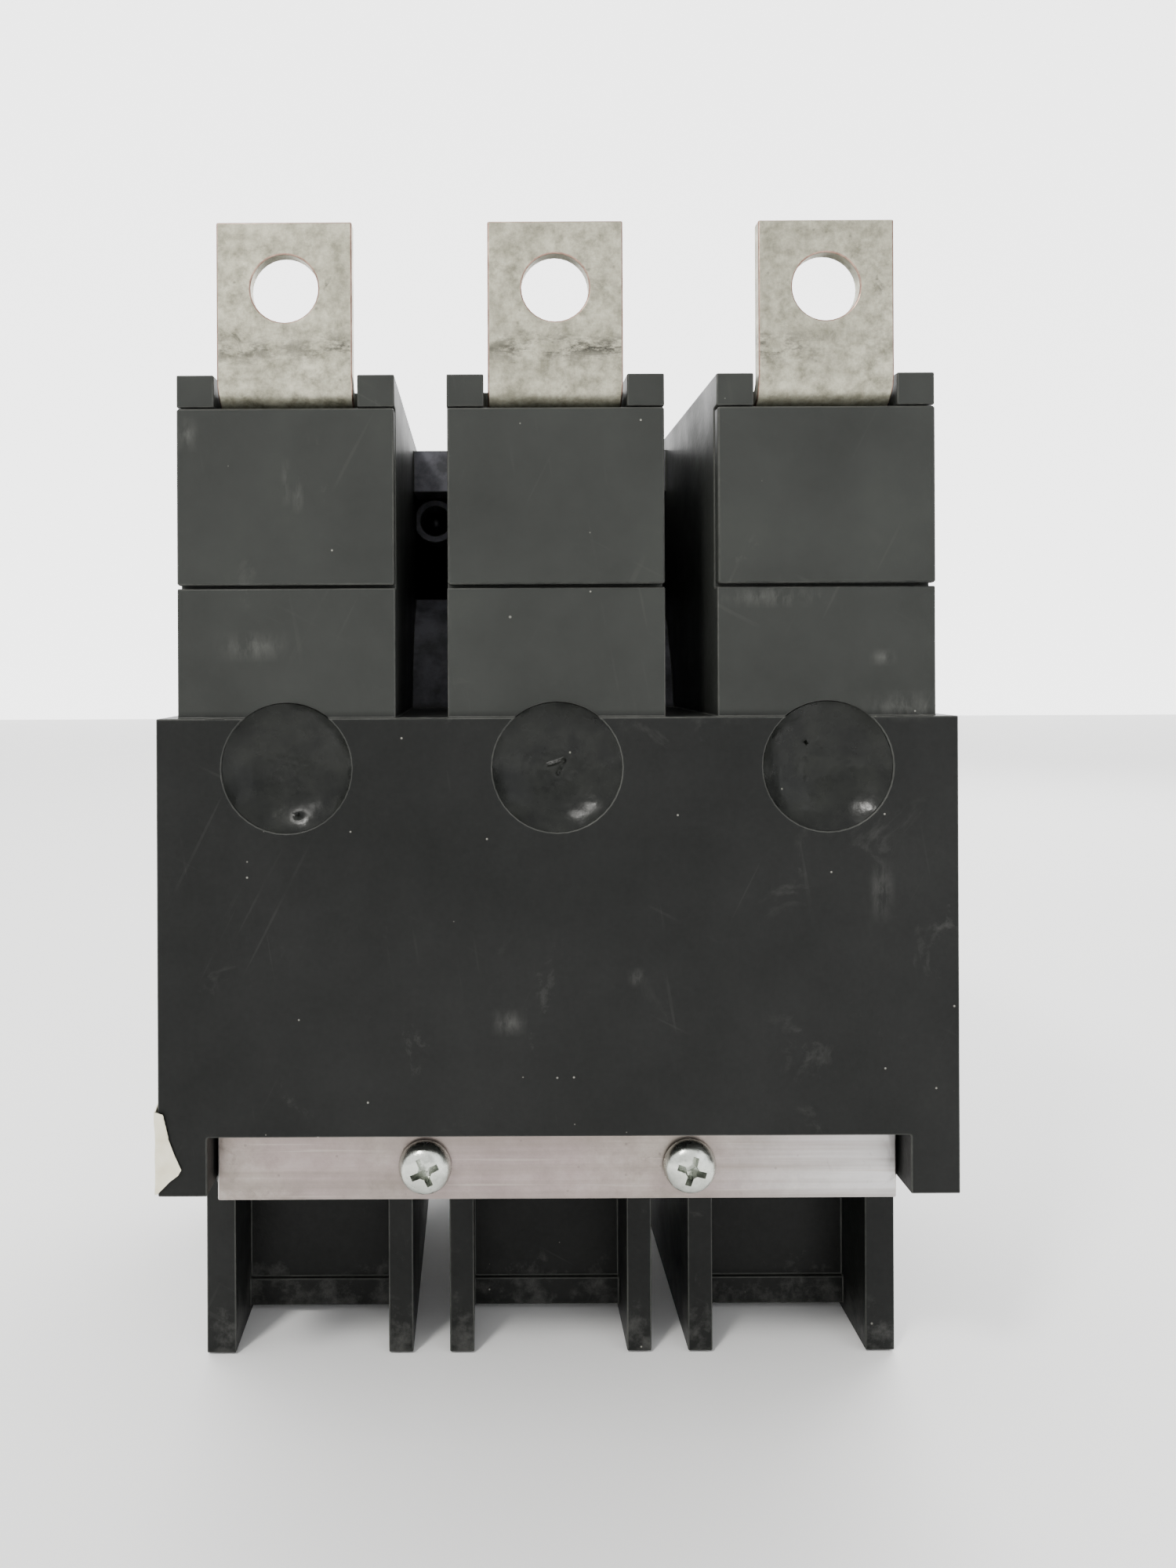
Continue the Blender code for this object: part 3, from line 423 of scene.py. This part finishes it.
def refined(node, width, look=None):
    """Stands for a node with its own shape, its edges rounded and given the worn-edge look."""
    slot = SLOTS[node]
    mesh = cleaned(frame["nodes"][node].data)
    mesh.name = node + "_shape"
    mesh.materials.clear()
    mesh.materials.append(look or LOOKS[slot])
    mesh.materials.append(EDGE_LOOKS.get(slot, LOOKS[slot]))
    made = piece(node + "_shape", mesh, node)
    rounded = made.modifiers.new("rounded", "BEVEL")
    rounded.width = width * MM
    rounded.segments = 2
    rounded.limit_method = "ANGLE"
    rounded.angle_limit = BEVEL_ANGLE
    rounded.use_clamp_overlap = False
    rounded.miter_outer = "MITER_ARC"
    rounded.material = 1
    mesh.shade_smooth()
    mesh.set_sharp_from_angle(angle=SHARP_ANGLE)
    made.modifiers.new("even", "WEIGHTED_NORMAL").keep_sharp = True
    return made


def frozen(obj, name):
    """The object's mesh with its modifiers applied. The object is removed."""
    bpy.context.view_layer.update()
    graph = bpy.context.evaluated_depsgraph_get()
    mesh = bpy.data.meshes.new_from_object(obj.evaluated_get(graph))
    mesh.name = name
    bpy.data.objects.remove(obj)
    return mesh


def loose(name, mesh):
    made = bpy.data.objects.new(name, mesh)
    bpy.context.scene.collection.objects.link(made)
    return made


def carved(target, cutter):
    """Takes the cutter out of the target and removes the cutter."""
    modifier = target.modifiers.new("carved", "BOOLEAN")
    modifier.operation = "DIFFERENCE"
    modifier.solver = "EXACT"
    modifier.object = cutter
    made = loose(target.name, frozen(target, target.name))
    bpy.data.objects.remove(cutter)
    return made


def tapered_block(size, taper, lift, turn):
    """A block whose lower end is narrower, turned about Z, with its middle at the height lift."""
    work = bmesh.new()
    bmesh.ops.create_cube(work, size=1.0)
    for v in work.verts:
        narrow = taper if v.co.z < 0 else (1.0, 1.0)
        v.co = Vector((v.co.x * size[0] * narrow[0], v.co.y * size[1] * narrow[1], v.co.z * size[2]))
        v.co.z += lift
    bmesh.ops.rotate(work, verts=work.verts, matrix=Matrix.Rotation(turn, 3, "Z"))
    mesh = bpy.data.meshes.new("blade")
    work.to_mesh(mesh)
    work.free()
    return loose("blade", mesh)


def cross_screw(node, facing, turn, look):
    """A pan-head screw with a tapered cross recess, in place of a node. facing is -1 or 1 along Y."""
    low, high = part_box(node)
    radius, total = (high.x - low.x) / 2, high.y - low.y
    head = 0.68 * radius
    shank = 0.49 * radius
    length = total - head
    profile = [(0, head), (0.30 * radius, 0.985 * head), (0.55 * radius, 0.92 * head),
               (0.75 * radius, 0.79 * head), (0.89 * radius, 0.59 * head), (0.97 * radius, 0.36 * head),
               (radius, 0.18 * head), (0.985 * radius, 0.03 * head), (0.95 * radius, 0),
               (shank, 0), (shank, -length + 2.0 * MM), (0, -length)]
    mesh = bpy.data.meshes.new("profile")
    mesh.from_pydata([(x, 0, z) for x, z in profile], [(i, i + 1) for i in range(len(profile) - 1)], [])
    body = loose("screw", mesh)
    spin = body.modifiers.new("spin", "SCREW")
    spin.steps = spin.render_steps = 56
    spin.use_merge_vertices = True
    spin.merge_threshold = 1e-6
    body = loose("screw", frozen(body, "screw"))
    depth = 0.78 * head
    for k in (0, 1):
        blade = tapered_block((1.5 * radius, 0.30 * radius, 2 * depth), (0.46, 0.55),
                              head - 0.1 * depth, math.radians(turn + 90 * k))
        body = carved(body, blade)
    core = tapered_block((0.62 * radius, 0.62 * radius, 2 * depth), (0.5, 0.5),
                         head - 0.2 * depth, math.radians(turn + 45))
    body = carved(body, core)
    mesh = body.data
    bpy.data.objects.remove(body)
    centre = Vector(((low.x + high.x) / 2, low.y + head if facing < 0 else high.y - head,
                     (low.z + high.z) / 2))
    mesh.transform(Matrix.Translation(centre) @ Matrix.Rotation(-facing * math.pi / 2, 4, "X"))
    mesh.materials.clear()
    mesh.materials.append(look)
    made = piece(node + "_cross_head", mesh, node)
    worn = made.modifiers.new("worn", "BEVEL")
    worn.width = SCREW_WEAR * MM
    worn.segments = 2
    worn.limit_method = "ANGLE"
    worn.angle_limit = SCREW_ANGLE
    mesh.shade_smooth()
    mesh.set_sharp_from_angle(angle=SCREW_ANGLE)
    return made


def crater(x, z, size):
    """A burst bubble in the compound: a raised ring round a pit, all in millimetres."""
    def height(at_x, at_z):
        away = math.hypot(at_x - x, at_z - z)
        ring = 0.08 * math.exp(-((away - size) / (0.35 * size)) ** 2)
        return ring - 0.3 * math.exp(-(away / (0.6 * size)) ** 4)
    return height


def ridge(x, z, to_x, to_z):
    """A short thin fold in the compound's skin, in millimetres."""
    start, end = Vector((x, z)), Vector((to_x, to_z))
    along = end - start

    def height(at_x, at_z):
        here = Vector((at_x, at_z))
        share = min(1.0, max(0.0, (here - start).dot(along) / along.length_squared))
        return 0.24 * math.exp(-((here - start.lerp(end, share)).length / 0.17) ** 2)
    return height


def well_seal(node, marks, rings=40, spokes=96):
    """Poured compound that climbs the wall of its well, with small marks in its skin."""
    low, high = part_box(node)
    centre_x, centre_z = (low.x + high.x) / 2, (low.z + high.z) / 2
    radius = (high.x - low.x) / 2 + SEAL_EXTRA * MM
    work = bmesh.new()
    rows = []
    for i in range(1, rings + 1):
        share = i / rings
        row = []
        for k in range(spokes):
            angle = 2 * math.pi * k / spokes
            x, z = radius * share * math.cos(angle) / MM, radius * share * math.sin(angle) / MM
            lift = SEAL_CLIMB * share ** SEAL_CURVE
            lift += 0.10 * noise.noise(Vector((x * 0.45, z * 0.45, centre_x * 900)))
            lift += 0.03 * noise.noise(Vector((x * 1.9, z * 1.9, 5.0)))
            lift += 0.22 * share ** 10 * noise.noise(Vector((3.0 * math.cos(angle), 3.0 * math.sin(angle),
                                                             centre_x * 500)))
            lift += sum(mark(x, z) for mark in marks)
            row.append(work.verts.new((centre_x + x * MM, high.y - (SEAL_DEPTH + lift) * MM,
                                       centre_z + z * MM)))
        rows.append(row)
    hub = work.verts.new((centre_x, high.y - SEAL_DEPTH * MM, centre_z))
    back = [work.verts.new((v.co.x, high.y, v.co.z)) for v in rows[-1]]
    for k in range(spokes):
        j = (k + 1) % spokes
        work.faces.new((hub, rows[0][k], rows[0][j]))
        for inner, outer in zip(rows, rows[1:]):
            work.faces.new((inner[k], outer[k], outer[j], inner[j]))
        work.faces.new((rows[-1][k], back[k], back[j], rows[-1][j]))
    work.faces.new(back)
    bmesh.ops.recalc_face_normals(work, faces=work.faces)
    mesh = bpy.data.meshes.new(node + "_poured")
    work.to_mesh(mesh)
    work.free()
    mesh.materials.append(LOOKS["potting_compound"])
    mesh.shade_smooth()
    mesh.set_sharp_from_angle(angle=math.radians(50))
    return piece(node + "_poured", mesh, node)


def label_remnant():
    """The blank torn scrap of an old label, folded round a lower corner of the band."""
    low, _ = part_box("rear_case")
    corner = Vector((low.x - SCRAP_LIFT * MM, low.y - SCRAP_LIFT * MM, top("mounting_bar") * MM))
    across = [(0.0, 3.1), (0.6, 2.9), (0.8, 1.7), (1.1, 0.6), (1.7, -1.0), (2.3, -2.3), (2.0, -2.8),
              (1.2, -3.4), (0.0, -4.6)]
    along = [(0.0, -4.6), (2.5, -4.1), (5.5, -3.0), (8.0, -0.8), (8.8, 1.6), (6.4, 3.8), (3.6, 4.5),
             (0.0, 3.1)]
    work = bmesh.new()
    rear = [work.verts.new(corner + Vector((x, 0, z)) * MM) for x, z in across]
    side = [rear[-1]] + [work.verts.new(corner + Vector((0, y, z)) * MM) for y, z in along[1:-1]]
    work.faces.new(rear)
    work.faces.new(side + [rear[0]])
    bmesh.ops.triangulate(work, faces=work.faces)
    for _ in range(4):
        bmesh.ops.subdivide_edges(work, edges=work.edges, cuts=1, use_grid_fill=True)
    for v in work.verts:
        crease = 0.10 + 0.10 * abs(noise.noise(v.co * 420.0)) + 0.16 * max(0.0, noise.noise(v.co * 260.0))
        on_rear = v.co.y < corner.y + 0.01 * MM
        if on_rear:
            v.co.y -= crease * MM
        if not on_rear or v.co.x < corner.x + 0.01 * MM:
            v.co.x -= crease * MM
    bmesh.ops.recalc_face_normals(work, faces=work.faces)
    mesh = bpy.data.meshes.new("label_remnant")
    work.to_mesh(mesh)
    work.free()
    mesh.materials.append(torn_paper())
    made = loose("label_remnant", mesh)
    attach(made, NODE_BODY["rear_case"])
    thick = made.modifiers.new("thick", "SOLIDIFY")
    thick.thickness = SCRAP_THICK * MM
    thick.offset = 0.0
    return made


def flash_line(name, node, start, end, height, rear=0.0):
    """Thin ragged flash left along an edge of a molding, from start to end along X, in millimetres."""
    chance = random.Random(name)
    curve = bpy.data.curves.new(name, "CURVE")
    curve.dimensions = "3D"
    curve.bevel_depth = FLASH_RADIUS * MM
    curve.bevel_resolution = 2
    curve.use_fill_caps = True
    count = max(6, int((end - start) / FLASH_STEP))
    spline = curve.splines.new("POLY")
    spline.points.add(count - 1)
    for i, point in enumerate(spline.points):
        x = start + (end - start) * i / (count - 1)
        drift = 0.05 * noise.noise(Vector((x * 1.7, 0.3, 9.0)))
        point.co = (x * MM, (rear - 0.01) * MM, (height + drift) * MM, 1.0)
        point.radius = 0.35 + 0.9 * chance.random() * (0.2 + 0.8 * math.sin(math.pi * i / (count - 1)))
    curve.materials.append(EDGE_LOOKS["thermoset_black"])
    made = loose(name, curve)
    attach(made, NODE_BODY[node])
    return made


for node, found in frame["nodes"].items():
    found.data.materials.clear()
    found.data.materials.append(LOOKS[SLOTS[node]])

case_look = molded("thermoset_case", BLACK_DARK, BLACK_LIGHT, case=True)
refined("rear_case", 0.13, case_look)
refined("front_cover", 0.13)
for number in (1, 2, 3):
    refined(f"rear_panel_{number}", 0.12, case_look)
    refined(f"line_strap_{number}", 0.14)
    refined(f"wire_lug_{number}", 0.3)
refined("mounting_bar", 0.14)
refined("toggle_handle", 0.5)

# Painted shade: the case screws get a near-black finish, a guess at their real finish, chosen so the deep
# holes they sit in read dark.
screw_painted_shade = plated("screw_painted_shade", (0.020, 0.020, 0.022), (0.050, 0.050, 0.053), (0.10, 0.08, 0.07), 0.2)
for number, turn in ((1, 24), (2, -17)):
    cross_screw(f"bar_screw_{number}", -1, turn, LOOKS["screw_steel"])
for number, turn in ((1, 8), (2, 51), (3, -30), (4, 17)):
    cross_screw(f"case_screw_{number}", 1, turn, screw_painted_shade)

well_seal("well_seal_1", [crater(1.0, -4.6, 0.42)])
well_seal("well_seal_2", [ridge(-0.75, 0.1, 0.7, 0.55), ridge(0.15, -0.75, 0.75, 0.5)])
well_seal("well_seal_3", [crater(-1.6, 2.1, 0.25)])
label_remnant()
for number, (start, end) in enumerate(((-15.1, -10.3), (-33.0, -31.2), (12.0, 19.6), (31.6, 35.2)), 1):
    flash_line(f"band_flash_{number}", "rear_case", start, end, BAND_TOP)
# The second value is the end of the piece's name, which also seeds its raggedness.
for number, mark, start, end in ((1, "23", 2.0, 4.1), (1, "35", -9.9, -8.5), (2, "3", -3.0, -0.8),
                                 (2, "-5", 5.5, 8.8), (3, "-20", -5.3, -2.8)):
    panel = f"rear_panel_{number}"
    low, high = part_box(panel)
    flash_line(f"panel_flash_{number}_{mark}", panel, middle(panel).x + start, middle(panel).x + end,
               high.z / MM - FLASH_INSET, low.y / MM + FLASH_SINK)
low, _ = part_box("rear_panel_2")
flash_line("panel_foot_flash", "rear_panel_2", -6.6, -4.2, low.z / MM + FLASH_INSET, low.y / MM + FLASH_SINK)

# ---- stage -------------------------------------------------------------------------------------

FLOOR_SIZE, FLOOR_GAP = 6.0, 0.0002         # metres
bpy.ops.mesh.primitive_plane_add(size=FLOOR_SIZE, location=(0, 0, cad_box[0][2] - FLOOR_GAP))
floor = bpy.context.object
floor.name = "floor"
floor.data.materials.append(floor_finish())


def lit_backdrop():
    """A pale wall far behind the object, lit from its own surface as a lit studio sheet is."""
    bpy.ops.mesh.primitive_plane_add(size=FLOOR_SIZE, location=BACKDROP_PLACE,
                                     rotation=(math.radians(90), 0, 0))
    made = bpy.context.object
    made.name = "backdrop"
    look = Look("lit_backdrop", roughness=0.9)
    look.shader.inputs["Emission Color"].default_value = (1.0, 1.0, 1.0, 1.0)
    look.shader.inputs["Emission Strength"].default_value = BACKDROP_GLOW
    tone = look.noise(3.0, 2.0)
    made.data.materials.append(look.done(look.mix(tone, (0.86, 0.86, 0.86), (0.88, 0.88, 0.88))))


lit_backdrop()
world = bpy.data.worlds.new("studio")
bpy.context.scene.world = world
world.use_nodes = True
sky = world.node_tree
side = sky.nodes.new("ShaderNodeVectorMath")
side.operation = "DOT_PRODUCT"
side.inputs[1].default_value = Vector(LIGHT_SIDE).normalized()
sky.links.new(sky.nodes.new("ShaderNodeTexCoord").outputs["Generated"], side.inputs[0])
fade = sky.nodes.new("ShaderNodeMapRange")
fade.interpolation_type = "SMOOTHSTEP"
for socket, value in (("From Min", -0.7), ("From Max", 0.9), ("To Min", WORLD_DIM), ("To Max", WORLD_BRIGHT)):
    fade.inputs[socket].default_value = value
sky.links.new(side.outputs["Value"], fade.inputs["Value"])
sky.nodes["Background"].inputs["Color"].default_value = (1.0, 1.0, 1.0, 1.0)
sky.links.new(fade.outputs["Result"], sky.nodes["Background"].inputs["Strength"])


def soft_light(name, place, target, size, power, colour=(1, 1, 1)):
    data = bpy.data.lights.new(name, "AREA")
    data.size = size
    data.energy = power
    data.color = colour
    made = bpy.data.objects.new(name, data)
    made.location = place
    made.rotation_euler = (Vector(target) - Vector(place)).to_track_quat("-Z", "Y").to_euler()
    bpy.context.scene.collection.objects.link(made)
    return made


# name, place, target, size, power, colour
soft_light("key", (-0.28, -0.42, 0.50), (0, 0.02, 0.01), 0.10, 3.4, (1.0, 0.985, 0.95))
soft_light("fill", (0.5, -0.5, 0.15), (0, 0.02, 0), 0.5, 1.2, (0.95, 0.97, 1.0))
soft_light("back", (0.3, 0.5, 0.4), (0, 0.03, 0), 0.4, 2.5)

CAMERA_PLACE = (-7.0, -112.0, 24.5)
CAMERA_ROLL = 0.26                  # degrees
CAMERA_LENS, CAMERA_SENSOR = 27.45, 36.0
CAMERA_SHIFT = (0.0675, -0.075)
data = bpy.data.cameras.new("camera")
data.lens, data.sensor_width = CAMERA_LENS, CAMERA_SENSOR
data.shift_x, data.shift_y = CAMERA_SHIFT
data.clip_start = 5 * MM
camera = bpy.data.objects.new("camera", data)
camera.location = [v * MM for v in CAMERA_PLACE]
camera.rotation_euler = Euler((math.radians(90), math.radians(CAMERA_ROLL), 0))
bpy.context.scene.collection.objects.link(camera)
bpy.context.scene.camera = camera
